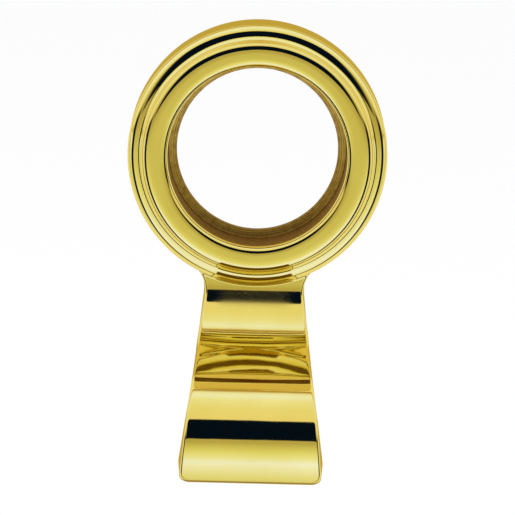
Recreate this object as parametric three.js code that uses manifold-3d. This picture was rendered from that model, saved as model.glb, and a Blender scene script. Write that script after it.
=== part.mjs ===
// Cylinder latch pull: a moulded brass ring that frames a rim lock cylinder, with a flared
// finger pull below it, two locating spikes and one through-door fixing screw with its cup.
//
// Millimetres, +Z up. The door's face is the plane y = 0 and the pull stands out from it
// towards -Y. "Reach" below always means the distance out from the door, so reach = -y.
// The finished group's origin is on the door, at the middle of the flat between the ring's
// hollow back and the screw. Every piece is drawn from the bore's axis and moved up at the end.

import * as THREE from 'three';
import { mergeVertices } from 'three/addons/utils/BufferGeometryUtils.js';
import Module from 'manifold-3d';

const wasm = await Module();
wasm.setup();

// ---------------------------------------------------------------- driving dimensions

const BORE_HEIGHT = 24;            // bore's axis above the origin
const RING_RADIUS = 22.9;          // outside of the ring
const RING_REACH = 10;             // front land of the ring
const BORE_RADIUS = 14.35;         // clears the body of a rim cylinder
const SEAT_RADIUS = 15.8;          // counterbore for the cylinder's head
const SEAT_REACH = 1.3;            // ledge that the cylinder's head rests on

// A moulding is a chain of tangent arcs, each with its length and its tilt at both ends. Tilt is
// the angle between the surface and the door, in degrees. The ring's chain starts at the front
// of its straight outside wall and ends at the wall of the counterbore.
const RING_ARCS = [
  { length: 0.26, fromTilt: 90, toTilt: 49 },      // bead
  { length: 0.84, fromTilt: 49, toTilt: 40.5 },
  { length: 0.31, fromTilt: 40.5, toTilt: 23.7 },
  { length: 0.86, fromTilt: 23.7, toTilt: 10 },    // tread
  { length: 0.38, fromTilt: 10, toTilt: 41 },      // cove
  { length: 0.56, fromTilt: 41, toTilt: 48 },
  { length: 0.42, fromTilt: 48, toTilt: 74 },
  { length: 0.42, fromTilt: 74, toTilt: 50 },      // crest
  { length: 0.52, fromTilt: 50, toTilt: 23.7 },
  { length: 0.72, fromTilt: 23.7, toTilt: 5 },
  { length: 0.75, fromTilt: 5, toTilt: 0 },        // land
  { length: 0.85, fromTilt: 0, toTilt: -1 },
  { length: 0.60, fromTilt: -1, toTilt: -9 },
  { length: 1.48, fromTilt: -9, toTilt: -90 },     // rounding into the bore
];
const RING_TURN = 15;              // degrees that one facet of the ring's mouldings may turn

const CHANNEL_INNER = 17.4;        // hollow in the ring's back
const CHANNEL_OUTER = 21.4;
const CHANNEL_DEPTH = 6;
const CHANNEL_DRAFT = 0.5;         // the casting's draft on each wall

const NECK_HALF_WIDTH = 8.95;      // at the waist, just below the ring
const NECK_REACH = 6.48;           // front of the neck where it leaves the ring
const NECK_TOP_Z = -22.87;         // height of that place
const FLARE_SLOPE = 0.165;         // half width gained for each millimetre down, above the knee
const LIP_SLOPE = 0.095;           // the same below the knee
const KNEE_Z = -39;                // the flare eases from one slope to the other around here
const KNEE_BLEND = 3;              // over this much on either side
const ROOT_FILLET = 5.5;           // between the ring's wall and the neck's sides
const CORNER_RADIUS = 2;           // bottom corners of the lip

// The pull's front, from the neck down to the end of the lip, as the same kind of chain.
const FRONT_ARCS = [
  { length: 1.0, fromTilt: 2, toTilt: 5.5 },       // neck
  { length: 2.4, fromTilt: 5.5, toTilt: 26 },
  { length: 9.8, fromTilt: 26, toTilt: 72 },       // bend out from the door
  { length: 8.09, fromTilt: 72, toTilt: 72 },
  { length: 7.39, fromTilt: 72, toTilt: 36.6 },    // bend down to the lip
  { length: 2.13, fromTilt: 36.6, toTilt: 27 },
  { length: 3.64, fromTilt: 27, toTilt: 7 },
  { length: 7.4, fromTilt: 7, toTilt: -31.5 },     // lip, rolled back towards the door
];
const FRONT_TURN = 5;              // degrees that one facet of the pull's front may turn
const PULL_THICKNESS = 4.4;        // at the neck's bend
const LIP_THICKNESS = 3.8;         // at the rolled lip, whose end is fully rounded
const FOOT_BOTTOM_Z = -33.2;       // the flat foot on the door ends here
const FOOT_ROUNDING = 2;           // radius of the foot's bottom edge

const SPIKE_RADIUS = 1;
const SPIKE_SPACING = 19.3;        // distance from the bore's axis
const SPIKE_POINT = 3.5;           // how far the point stands behind the door's face
const SPIKE_CONE = 2.6;
const SPIKE_SEAT = 3.2;            // depth pressed into its boss
const SPIKE_BOSS_RADIUS = 2;

const SCREW_Z = -29.3;
const SCREW_RADIUS = 2;            // M4
const SCREW_HOLE_DEPTH = 5.4;
const SCREW_POINT_GAP = 0.5;       // between the screw's end and the bottom of its hole
const DOOR_THICKNESS = 44;
const HEAD_RADIUS = 3.8;
const HEAD_CONE = 2;
const HEAD_DOME = 1;
const SLOT_WIDTH = 1.1;
const SLOT_DEPTH = 1.1;
const CUP_RADIUS = 5.2;
const CUP_THICKNESS = 0.6;
const CUP_LIP = 0.9;               // flat rim around the cup's cone

const FIT_GAP = 0.3;               // clearance between neighbouring pieces
const RING_SEGMENTS = 80;
const HOLE_SEGMENTS = 28;
const OVERLAP = 1;                 // lets a cutter run past the face it opens

// ---------------------------------------------------------------- solids

// A closed three.js geometry as a manifold solid.
function solid(geometry) {
  const bare = geometry.index ? geometry.toNonIndexed() : geometry.clone();
  bare.deleteAttribute('normal');
  bare.deleteAttribute('uv');
  const merged = mergeVertices(bare, 1e-5);
  return new wasm.Manifold(new wasm.Mesh({
    numProp: 3,
    vertProperties: new Float32Array(merged.attributes.position.array),
    triVerts: new Uint32Array(merged.index.array),
  }));
}

// A manifold solid as a three.js geometry.
function geometryOf(body) {
  const mesh = body.getMesh();
  const geometry = new THREE.BufferGeometry();
  geometry.setAttribute('position', new THREE.BufferAttribute(mesh.vertProperties, 3));
  geometry.setIndex(new THREE.BufferAttribute(mesh.triVerts, 1));
  geometry.computeVertexNormals();
  return geometry;
}

// Revolves an outline of [radius, reach] points about the Y axis. On its outer side the
// outline runs from the front of the piece to its back.
function revolve(outline, segments) {
  const points = outline.map(([radius, reach]) => new THREE.Vector2(radius, -reach));
  return new THREE.LatheGeometry(points, segments);
}

// A cylinder along Y, between two reaches.
function rod(radius, fromReach, toReach, x, z) {
  const geometry = new THREE.CylinderGeometry(radius, radius, Math.abs(toReach - fromReach), HOLE_SEGMENTS);
  geometry.translate(x, -(fromReach + toReach) / 2, z);
  return geometry;
}

// Points on an ellipse, from angle `from` to angle `to` in degrees.
function arc(centreX, centreY, radiusX, radiusY, from, to, steps) {
  const points = [];
  for (let i = 0; i <= steps; i += 1) {
    const angle = THREE.MathUtils.degToRad(from + ((to - from) * i) / steps);
    points.push([centreX + radiusX * Math.cos(angle), centreY + radiusY * Math.sin(angle)]);
  }
  return points;
}

// Walks along a chain of tangent arcs. Each point has the distance gone across the face, the
// reach gained, the tilt in radians and the length travelled.
function walk(arcs, facetTurn) {
  const points = [{ across: 0, reach: 0, tilt: THREE.MathUtils.degToRad(arcs[0].fromTilt), travelled: 0 }];
  for (const { length, fromTilt, toTilt } of arcs) {
    const steps = Math.max(1, Math.ceil(Math.abs(toTilt - fromTilt) / facetTurn));
    for (let i = 0; i < steps; i += 1) {
      const chordTilt = THREE.MathUtils.degToRad(fromTilt + ((toTilt - fromTilt) * (i + 0.5)) / steps);
      const last = points.at(-1);
      points.push({
        across: last.across + (Math.cos(chordTilt) * length) / steps,
        reach: last.reach + (Math.sin(chordTilt) * length) / steps,
        tilt: THREE.MathUtils.degToRad(fromTilt + ((toTilt - fromTilt) * (i + 1)) / steps),
        travelled: last.travelled + length / steps,
      });
    }
  }
  return points;
}

// ---------------------------------------------------------------- ring

// The ring's section as [radius, reach] points, from the outside of the back round the
// front mouldings, down the stepped bore and across the hollow back.
function ringOutline() {
  const mouldings = walk(RING_ARCS, RING_TURN);
  const wallReach = RING_REACH - Math.max(...mouldings.map(({ reach }) => reach));
  const channel = [
    [CHANNEL_INNER, 0],
    [CHANNEL_INNER + CHANNEL_DRAFT, CHANNEL_DEPTH],
    [CHANNEL_OUTER - CHANNEL_DRAFT, CHANNEL_DEPTH],
    [CHANNEL_OUTER, 0],
  ];
  const outline = [
    [RING_RADIUS, 0],
    ...mouldings.map(({ across, reach }) => [RING_RADIUS - across, wallReach + reach]),
    [SEAT_RADIUS, SEAT_REACH],
    [BORE_RADIUS, SEAT_REACH],
    [BORE_RADIUS, 0],
    ...channel,
    [RING_RADIUS, 0],
  ];
  return outline.reverse();
}

// The space inside the ring's outer wall, which the neck must not fill.
function ringInside() {
  return solid(rod(CHANNEL_OUTER + FIT_GAP, -OVERLAP, RING_REACH + OVERLAP, 0, 0));
}

// A boss in the hollow back for each spike, with its blind hole.
function spikeBoss(x) {
  return solid(rod(SPIKE_BOSS_RADIUS, 0, CHANNEL_DEPTH + FIT_GAP, x, 0));
}

function spikeHole(x) {
  return solid(rod(SPIKE_RADIUS + FIT_GAP, -OVERLAP, SPIKE_SEAT + FIT_GAP, x, 0));
}

// ---------------------------------------------------------------- neck and finger pull

// Points { reach, z, tilt } down the pull's front, with the share of its length travelled so far.
function frontCurve() {
  const points = walk(FRONT_ARCS, FRONT_TURN);
  const whole = points.at(-1).travelled;
  return points.map(({ across, reach, tilt, travelled }) => ({
    reach: NECK_REACH + reach,
    z: NECK_TOP_Z - across,
    tilt,
    share: travelled / whole,
  }));
}

// The back of the pull: the front curve moved in by the local thickness.
function backPoint(point) {
  const thickness = THREE.MathUtils.lerp(PULL_THICKNESS, LIP_THICKNESS, point.share);
  return {
    reach: point.reach - thickness * Math.cos(point.tilt),
    z: point.z - thickness * Math.sin(point.tilt),
    tilt: point.tilt,
  };
}

// The pull's side view, extruded across its width. Shape x is the reach, shape y is z.
function sideSlab() {
  const front = frontCurve();
  const back = front.map(backPoint).filter((point) => point.z < FOOT_BOTTOM_Z - FOOT_ROUNDING);
  const backTop = back[0];
  const sweepReach = backTop.reach - (FOOT_BOTTOM_Z - backTop.z) * Math.tan(backTop.tilt);
  const shape = new THREE.Shape();
  const ringOverlapZ = -RING_RADIUS + OVERLAP * 3;
  shape.moveTo(0, ringOverlapZ);
  shape.lineTo(NECK_REACH, ringOverlapZ);
  front.forEach((point) => shape.lineTo(point.reach, point.z));
  const end = front.at(-1);
  const noseRadius = LIP_THICKNESS / 2;
  shape.absarc(
    end.reach - noseRadius * Math.cos(end.tilt), end.z - noseRadius * Math.sin(end.tilt),
    noseRadius, end.tilt, end.tilt - Math.PI, true,
  );
  back.reverse().forEach((point) => shape.lineTo(point.reach, point.z));
  shape.quadraticCurveTo(sweepReach, FOOT_BOTTOM_Z, FOOT_ROUNDING, FOOT_BOTTOM_Z);
  shape.absarc(FOOT_ROUNDING, FOOT_BOTTOM_Z + FOOT_ROUNDING, FOOT_ROUNDING, -Math.PI / 2, Math.PI, true);
  shape.closePath();
  const depth = 4 * NECK_HALF_WIDTH;
  const geometry = new THREE.ExtrudeGeometry(shape, { depth, bevelEnabled: false, curveSegments: 5 });
  geometry.translate(0, 0, -depth / 2);
  // reach -> -Y, shape y -> Z, depth -> -X
  const axes = new THREE.Matrix4().set(
    0, 0, -1, 0,
    -1, 0, 0, 0,
    0, 1, 0, 0,
    0, 0, 0, 1,
  );
  geometry.applyMatrix4(axes);
  return geometry;
}

// Half the pull's width at height z, below the end of its root fillet at (startX, startZ).
function flareHalfWidth(startX, startZ, z) {
  const below = KNEE_Z - z;
  const easing = THREE.MathUtils.clamp(below + KNEE_BLEND, 0, 2 * KNEE_BLEND) ** 2 / (4 * KNEE_BLEND);
  const pastKnee = easing + Math.max(below - KNEE_BLEND, 0);
  return startX + FLARE_SLOPE * (startZ - z) - (FLARE_SLOPE - LIP_SLOPE) * pastKnee;
}

// The pull's front view: filleted into the ring, then flaring to the lip.
function frontOutline(bottomZ) {
  const filletX = NECK_HALF_WIDTH + ROOT_FILLET;
  const filletZ = -Math.sqrt((RING_RADIUS + ROOT_FILLET) ** 2 - filletX ** 2);
  const touchAngle = Math.atan2(-filletZ, -filletX);
  const flareAngle = Math.PI + Math.atan(FLARE_SLOPE);
  const flareX = filletX + ROOT_FILLET * Math.cos(flareAngle);
  const flareZ = filletZ + ROOT_FILLET * Math.sin(flareAngle);
  const topZ = filletZ + ROOT_FILLET * Math.sin(touchAngle) + FIT_GAP;
  const lipHalfWidth = flareHalfWidth(flareX, flareZ, bottomZ);
  const shape = new THREE.Shape();
  shape.moveTo(0, topZ);
  shape.lineTo(filletX + ROOT_FILLET * Math.cos(touchAngle), topZ);
  shape.absarc(filletX, filletZ, ROOT_FILLET, touchAngle, flareAngle, false);
  for (let z = KNEE_Z + KNEE_BLEND; z >= KNEE_Z - KNEE_BLEND; z -= KNEE_BLEND / 2) {
    shape.lineTo(flareHalfWidth(flareX, flareZ, z), z);
  }
  shape.lineTo(lipHalfWidth - LIP_SLOPE * CORNER_RADIUS, bottomZ + CORNER_RADIUS);
  shape.absarc(
    lipHalfWidth - CORNER_RADIUS, bottomZ + CORNER_RADIUS,
    CORNER_RADIUS, 0, -Math.PI / 2, true,
  );
  const right = shape.getPoints(5);
  const left = right.map((point) => new THREE.Vector2(-point.x, point.y)).reverse();
  return new THREE.Shape([...right, ...left]);
}

// The neck and finger pull: the side view and the front view cut into each other.
function pullSolid() {
  const side = solid(sideSlab());
  const bottomZ = side.boundingBox().min[2];
  const depth = 4 * RING_REACH;
  const frontGeometry = new THREE.ExtrudeGeometry(
    frontOutline(bottomZ),
    { depth, bevelEnabled: false, curveSegments: 5 },
  );
  frontGeometry.rotateX(Math.PI / 2);
  frontGeometry.translate(0, OVERLAP, 0);
  return side.intersect(solid(frontGeometry));
}

function screwHole() {
  return solid(rod(SCREW_RADIUS + FIT_GAP, -OVERLAP, SCREW_HOLE_DEPTH, 0, SCREW_Z));
}

function pullBodyGeometry() {
  const ring = solid(revolve(ringOutline(), RING_SEGMENTS));
  const pull = pullSolid().subtract(ringInside());
  const body = ring
    .add(pull)
    .add(spikeBoss(-SPIKE_SPACING))
    .add(spikeBoss(SPIKE_SPACING))
    .subtract(spikeHole(-SPIKE_SPACING))
    .subtract(spikeHole(SPIKE_SPACING))
    .subtract(screwHole());
  return geometryOf(body);
}

// ---------------------------------------------------------------- fixings

// A plain pin with a conical point behind the door's face.
function spikeGeometry() {
  return revolve([
    [0, SPIKE_SEAT],
    [SPIKE_RADIUS, SPIKE_SEAT],
    [SPIKE_RADIUS, SPIKE_CONE - SPIKE_POINT],
    [0, -SPIKE_POINT],
  ], HOLE_SEGMENTS);
}

// A raised countersunk machine screw from the far side of the door into the neck.
function screwGeometry() {
  const tip = SCREW_HOLE_DEPTH - SCREW_POINT_GAP;
  const seat = -DOOR_THICKNESS - CUP_THICKNESS;
  const headFace = seat - HEAD_CONE;
  const dome = arc(0, headFace, HEAD_RADIUS, -HEAD_DOME, 0, 90, 5);
  const head = solid(revolve([
    [0, tip],
    [SCREW_RADIUS - 0.5, tip],
    [SCREW_RADIUS, tip - 0.5],
    [SCREW_RADIUS, seat],
    ...dome,
  ], HOLE_SEGMENTS));
  const slot = new THREE.BoxGeometry(3 * HEAD_RADIUS, SLOT_DEPTH, SLOT_WIDTH);
  slot.translate(0, -(headFace - HEAD_DOME) - SLOT_DEPTH / 2, 0);
  return geometryOf(head.subtract(solid(slot)));
}

// A turned cup washer: a flat rim on the door and a cone that takes the screw's head.
function cupGeometry() {
  const rim = -DOOR_THICKNESS;
  const coneInner = SCREW_RADIUS + FIT_GAP;
  const coneOuter = CUP_RADIUS - CUP_LIP;
  const mouth = rim - CUP_THICKNESS - HEAD_CONE;
  return revolve([
    [coneInner, rim],
    [CUP_RADIUS, rim],
    [CUP_RADIUS, rim - CUP_THICKNESS],
    [coneOuter + CUP_THICKNESS, mouth],
    [coneOuter, mouth],
    [coneInner, rim - CUP_THICKNESS + FIT_GAP],
    [coneInner, rim],
  ], HOLE_SEGMENTS);
}

// ---------------------------------------------------------------- materials and assembly

const metal = (color, roughness) => new THREE.MeshStandardMaterial({ color, roughness, metalness: 1 });
const polishedBrass = metal('#d6b43c', 0.12);
const turnedBrass = metal('#c8a23a', 0.3);
const brightSteel = metal('#b9bcc0', 0.35);

function piece(name, geometry, material, x = 0, z = 0) {
  const mesh = new THREE.Mesh(geometry, material);
  mesh.name = name;
  mesh.position.set(x, 0, z);
  return mesh;
}

const fixings = new THREE.Group();
fixings.add(
  piece('locating_spike_left', spikeGeometry(), brightSteel, -SPIKE_SPACING),
  piece('locating_spike_right', spikeGeometry(), brightSteel, SPIKE_SPACING),
  piece('fixing_screw', screwGeometry(), turnedBrass, 0, SCREW_Z),
  piece('screw_cup', cupGeometry(), turnedBrass, 0, SCREW_Z),
);

const group = new THREE.Group();
group.position.z = BORE_HEIGHT;
group.add(piece('pull_body', pullBodyGeometry(), polishedBrass), fixings);

export default group;
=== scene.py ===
"""Looks for the cylinder latch pull: one polished brass casting, two steel spikes, a brass
screw and its cup washer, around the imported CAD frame.

Shapes are worked out in millimetres from the bore's axis on the door's face, as (x, reach, z)
with reach counted out from the door. place() turns them into the frame's metres.
"""

import math

import bmesh
import bpy
import numpy as np
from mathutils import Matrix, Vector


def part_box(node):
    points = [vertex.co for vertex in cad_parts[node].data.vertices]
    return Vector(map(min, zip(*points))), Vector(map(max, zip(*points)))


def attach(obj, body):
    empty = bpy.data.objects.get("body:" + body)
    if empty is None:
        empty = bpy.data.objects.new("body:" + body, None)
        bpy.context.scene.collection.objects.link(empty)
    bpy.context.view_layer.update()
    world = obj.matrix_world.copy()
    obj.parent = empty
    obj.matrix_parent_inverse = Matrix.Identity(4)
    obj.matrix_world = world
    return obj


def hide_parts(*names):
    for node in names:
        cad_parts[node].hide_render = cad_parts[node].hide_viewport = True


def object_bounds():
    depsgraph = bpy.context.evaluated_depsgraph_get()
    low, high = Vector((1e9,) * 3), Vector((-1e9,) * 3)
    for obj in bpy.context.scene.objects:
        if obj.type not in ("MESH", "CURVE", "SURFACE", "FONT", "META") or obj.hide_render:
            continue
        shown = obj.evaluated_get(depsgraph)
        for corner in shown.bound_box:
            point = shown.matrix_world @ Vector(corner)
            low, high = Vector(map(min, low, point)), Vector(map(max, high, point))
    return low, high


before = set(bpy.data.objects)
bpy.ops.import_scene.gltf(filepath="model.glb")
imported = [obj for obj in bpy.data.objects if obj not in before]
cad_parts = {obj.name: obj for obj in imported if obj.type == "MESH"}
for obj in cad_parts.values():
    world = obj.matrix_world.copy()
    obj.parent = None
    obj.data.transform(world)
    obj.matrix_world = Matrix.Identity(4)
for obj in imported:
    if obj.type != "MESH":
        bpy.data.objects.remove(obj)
cad_low, cad_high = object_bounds()

MM = 0.001
body_low, body_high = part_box("pull_body")

# ------------------------------------------------------------ driving dimensions (mm)

RING_RADIUS = (body_high.x - body_low.x) / 2 / MM
BORE_HEIGHT = body_high.z / MM - RING_RADIUS

BORE_RADIUS = 14.35
SEAT_RADIUS = 15.8
SEAT_REACH = 1.3
RING_REACH = 10.0

# A moulding is a chain of runs: (length, tilt at its start, tilt at its end). Tilt is the angle
# between the surface and the door, in degrees. The ring's runs start at the front of its
# straight outside wall and end at the wall of the counterbore.
RING_RUNS = (
    (0.26, 90.0, 49.0),         # bead
    (0.84, 49.0, 40.5),
    (0.31, 40.5, 23.7),
    (0.86, 23.7, 10.0),         # tread
    (0.38, 10.0, 41.0),         # cove
    (0.56, 41.0, 48.0),
    (0.42, 48.0, 74.0),
    (0.42, 74.0, 50.0),         # crest
    (0.52, 50.0, 23.7),
    (0.72, 23.7, 5.0),
    (0.75, 5.0, 0.0),           # land
    (0.85, 0.0, -1.0),
    (0.60, -1.0, -9.0),
    (1.48, -9.0, -90.0),        # rounding into the bore
)
RUN_STEP = 0.05
CHANNEL_INNER = 17.4
CHANNEL_OUTER = 21.4
CHANNEL_DEPTH = 6.0
CHANNEL_DRAFT = 0.5
CHANNEL_FILLET = 0.6
CHANNEL_INNER_EDGE = 0.08
RIM_EDGE = 0.2                  # rounded edges of the ring's back, outside the channel
WALL_FOOT = 0.25                # the polished outside wall starts this far from the door
SEAT_CORNER = 0.15
LEDGE_EDGE = 0.12
BORE_BACK_EDGE = 0.25
SECTION_GAP = 0.1               # neighbouring stretches of the section stop this far apart

NECK_REACH = 6.46
NECK_TOP_Z = -22.87
NECK_HALF_WIDTH = 8.95
ROOT_FILLET = 5.5
FLARE_SLOPE = 0.165             # half width gained for each millimetre down, above the knee
LIP_SLOPE = 0.095               # the same below the knee
KNEE_Z = -39.0
KNEE_BLEND = 3.0                # the slope eases over this much on either side of the knee
NECK_BLEND = 0.55               # fillet between the neck's front and the ring's bead
BEAD_WIDTH = 1.5                # the fillet stays within this much of the ring's outside

# The pull's front, from the neck down.
FRONT_RUNS = (
    (1.0, 2.0, 5.5),            # neck
    (2.4, 5.5, 26.0),
    (9.8, 26.0, 72.0),          # bend out from the door
    (8.09, 72.0, 72.0),
    (7.39, 72.0, 36.6),         # bend down to the lip
    (2.13, 36.6, 27.0),
    (3.64, 27.0, 7.0),
    (7.4, 7.0, -31.5),          # lip, rolled back towards the door
)
POLISH_SOFTENING = 0.8          # the polishing wheel blurs changes of curvature over this length
PULL_THICKNESS = 4.4
LIP_THICKNESS = 3.8
FOOT_BOTTOM_Z = -33.2
FOOT_ROUNDING = 2.0
FOOT_FLAT_S = 6.0               # arc lengths of the front opposite the end of the foot's flat,
FOOT_TURN_S = 8.0               # the end of its rounding,
FOOT_JOIN_S = 13.0              # and the place where the back becomes parallel to the front
LIP_CORNER = 1.3
EDGE_ROUNDING = 0.5
SIDE_DRAFT = 0.35               # the back of the pull is this much wider on each side
BACK_EDGE = 0.45

SCREW_Z = -29.3
SCREW_HOLE_RADIUS = 2.3
SCREW_HOLE_DEPTH = 5.4
HOLE_CHAMFER = 0.5
DRILL_POINT = 0.8
SPIKE_SPACING = 19.3
SPIKE_HOLE_RADIUS = 1.3
SPIKE_HOLE_DEPTH = 3.5
SPIKE_BOSS_RADIUS = 2.0
BOSS_ROOT = 0.3                 # the bosses run this far into the channel's floor
BOSS_EDGE = 0.1

RING_STEPS = 480
ROW_LENGTH = 0.25
COLUMNS = 72
TOP_ROWS = 12
SHARP_ANGLE = 38.0              # edges that turn more than this, in degrees, stay sharp


# ------------------------------------------------------------ mesh helpers

def place(x, reach, z):
    """A point of the pull, in the frame's metres."""
    return (x * MM, -reach * MM, (z + BORE_HEIGHT) * MM)


def make_object(name, vertices, faces, material_indices=None):
    mesh = bpy.data.meshes.new(name)
    mesh.from_pydata([place(*v) for v in vertices], [], faces)
    if material_indices is not None:
        mesh.polygons.foreach_set("material_index", material_indices)
    tidy = bmesh.new()
    tidy.from_mesh(mesh)
    bmesh.ops.recalc_face_normals(tidy, faces=tidy.faces)
    tidy.to_mesh(mesh)
    tidy.free()
    obj = bpy.data.objects.new(name, mesh)
    bpy.context.scene.collection.objects.link(obj)
    return obj


def apply_modifiers(obj):
    bpy.context.view_layer.objects.active = obj
    for modifier in list(obj.modifiers):
        bpy.ops.object.modifier_apply(modifier=modifier.name)


def boolean(target, tool, operation):
    """Joins tool to target, or cuts it away, and deletes tool."""
    modifier = target.modifiers.new(operation, "BOOLEAN")
    modifier.operation = operation
    modifier.object = tool
    modifier.solver = "EXACT"
    apply_modifiers(target)
    bpy.data.objects.remove(tool)


def line(start, end, steps):
    return [tuple(np.array(start) + (np.array(end) - np.array(start)) * i / steps)
            for i in range(steps + 1)]


def ellipse(centre, axes, start, end, steps):
    angles = np.radians(np.linspace(start, end, steps + 1))
    return [(centre[0] + axes[0] * math.cos(a), centre[1] + axes[1] * math.sin(a)) for a in angles]


def rounded(corners, steps=5):
    """An open path through corners (u, v, radius), each corner turned on its radius."""
    path = []
    for i, (u, v, radius) in enumerate(corners):
        here = np.array((u, v))
        if radius == 0 or i in (0, len(corners) - 1):
            path.append((u, v))
            continue
        before = np.array(corners[i - 1][:2]) - here
        after = np.array(corners[i + 1][:2]) - here
        before /= np.linalg.norm(before)
        after /= np.linalg.norm(after)
        half = math.acos(np.clip(before @ after, -1, 1)) / 2
        middle = (before + after) / np.linalg.norm(before + after)
        centre = here + middle * radius / math.sin(half)
        first = here + before * radius / math.tan(half) - centre
        last = here + after * radius / math.tan(half) - centre
        for k in range(steps + 1):
            t = k / steps
            spoke = first * (1 - t) + last * t
            path.append(tuple(centre + spoke * radius / np.linalg.norm(spoke)))
    return path


def revolve(name, outline, steps=RING_STEPS, centre=(0.0, 0.0), material_of=None):
    """Turns an outline of (radius, reach) points round an axis along Y. A radius of 0 is a pole."""
    angles = np.linspace(0, 2 * math.pi, steps, endpoint=False)
    vertices, rings = [], []
    for radius, reach in outline:
        if radius < 1e-6:
            rings.append([len(vertices)] * steps)
            vertices.append((centre[0], reach, centre[1]))
        else:
            rings.append(list(range(len(vertices), len(vertices) + steps)))
            vertices += [(centre[0] + radius * math.sin(a), reach, centre[1] + radius * math.cos(a))
                         for a in angles]
    faces, materials = [], []
    closed = outline[0][0] > 1e-6
    for index, (low, high) in enumerate(zip(rings, rings[1:] + (rings[:1] if closed else []))):
        for k in range(steps):
            n = (k + 1) % steps
            corners = [low[k], low[n], high[n], high[k]]
            faces.append(list(dict.fromkeys(corners)))
            materials.append(material_of(index) if material_of else 0)
    return make_object(name, vertices, faces, materials)


# ------------------------------------------------------------ the ring's section

def ring_front():
    """The ring's front as rows of (radius, reach, tilt), from the outside wall to the bore."""
    tilts = []
    for length, start, end in RING_RUNS:
        steps = math.ceil(length / RUN_STEP)
        tilts += [(length / steps, start + (end - start) * (k + 0.5) / steps) for k in range(steps)]
    size, tilt = np.array(tilts).T
    tilt = np.radians(tilt)
    radius = RING_RADIUS - np.concatenate(([0], np.cumsum(np.cos(tilt) * size)))
    reach = np.concatenate(([0], np.cumsum(np.sin(tilt) * size)))
    between = np.concatenate(([math.pi / 2], (tilt[1:] + tilt[:-1]) / 2, [-math.pi / 2]))
    return np.stack((radius, reach + RING_REACH - reach.max(), between), axis=1)


RING_FRONT = ring_front()


POLISHED, MACHINED, CAST = 0, 1, 2


def ring_outline():
    """The whole section as (radius, reach) points, and the finish of the run after each point."""
    front = line((RING_RADIUS, WALL_FOOT), (RING_RADIUS, RING_FRONT[0][1]), 8)[:-1]
    front += [(radius, reach) for radius, reach, _ in RING_FRONT]
    bore = rounded([
        (SEAT_RADIUS, RING_FRONT[-1][1] - SECTION_GAP, 0),
        (SEAT_RADIUS, SEAT_REACH, SEAT_CORNER),
        (BORE_RADIUS, SEAT_REACH, LEDGE_EDGE),
        (BORE_RADIUS, 0, BORE_BACK_EDGE),
        (CHANNEL_INNER - 2 * SECTION_GAP, 0, 0),
    ], 3)
    back = rounded([
        (CHANNEL_INNER - SECTION_GAP, 0, 0),
        (CHANNEL_INNER, 0, CHANNEL_INNER_EDGE),
        (CHANNEL_INNER + CHANNEL_DRAFT, CHANNEL_DEPTH, CHANNEL_FILLET),
        (CHANNEL_OUTER - CHANNEL_DRAFT, CHANNEL_DEPTH, CHANNEL_FILLET),
        (CHANNEL_OUTER, 0, RIM_EDGE),
        (RING_RADIUS, 0, RIM_EDGE),
        (RING_RADIUS, WALL_FOOT - 0.01, 0),
    ], 4)
    finishes = [POLISHED] * len(front) + [MACHINED] * len(bore) + [CAST] * len(back)
    return front + bore + back, finishes


# ------------------------------------------------------------ the pull's curves

def front_table():
    """Arc length, reach, z and tilt down the front of the pull, in fine steps."""
    step = 0.02
    lengths = [run[0] for run in FRONT_RUNS]
    knots = np.concatenate(([0], np.cumsum(lengths)))
    tilts = [FRONT_RUNS[0][1]] + [run[2] for run in FRONT_RUNS]
    margin = 6.0
    s = np.arange(-margin, knots[-1] + margin, step)
    last_slope = (FRONT_RUNS[-1][2] - FRONT_RUNS[-1][1]) / lengths[-1]
    tilt = np.interp(s, knots, tilts)
    tilt = np.where(s > knots[-1], tilts[-1] + (s - knots[-1]) * last_slope, tilt)
    width = int(POLISH_SOFTENING / step)
    kernel = np.hanning(2 * width + 1)
    kernel /= kernel.sum()
    tilt = np.convolve(np.pad(tilt, width, mode="edge"), kernel, mode="valid")
    angle = np.radians(tilt)
    reach = np.concatenate(([0], np.cumsum(np.sin(angle[:-1]) * step)))
    z = np.concatenate(([0], np.cumsum(-np.cos(angle[:-1]) * step)))
    start = int(round(margin / step))
    reach += NECK_REACH - reach[start]
    z += NECK_TOP_Z - z[start]
    return s, reach, z, angle, knots[-1]


FRONT_S, FRONT_REACH, FRONT_Z, FRONT_TILT, FRONT_LENGTH = front_table()


def front_at(s):
    """(reach, z, tilt) of the front at arc length s."""
    return (np.interp(s, FRONT_S, FRONT_REACH), np.interp(s, FRONT_S, FRONT_Z),
            np.interp(s, FRONT_S, FRONT_TILT))


def thickness_at(s):
    return PULL_THICKNESS + (LIP_THICKNESS - PULL_THICKNESS) * np.clip(s / FRONT_LENGTH, 0, 1)


def plate_back_at(s):
    reach, z, tilt = front_at(s)
    thick = thickness_at(s)
    return reach - thick * math.cos(tilt), z - thick * math.sin(tilt)


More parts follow.
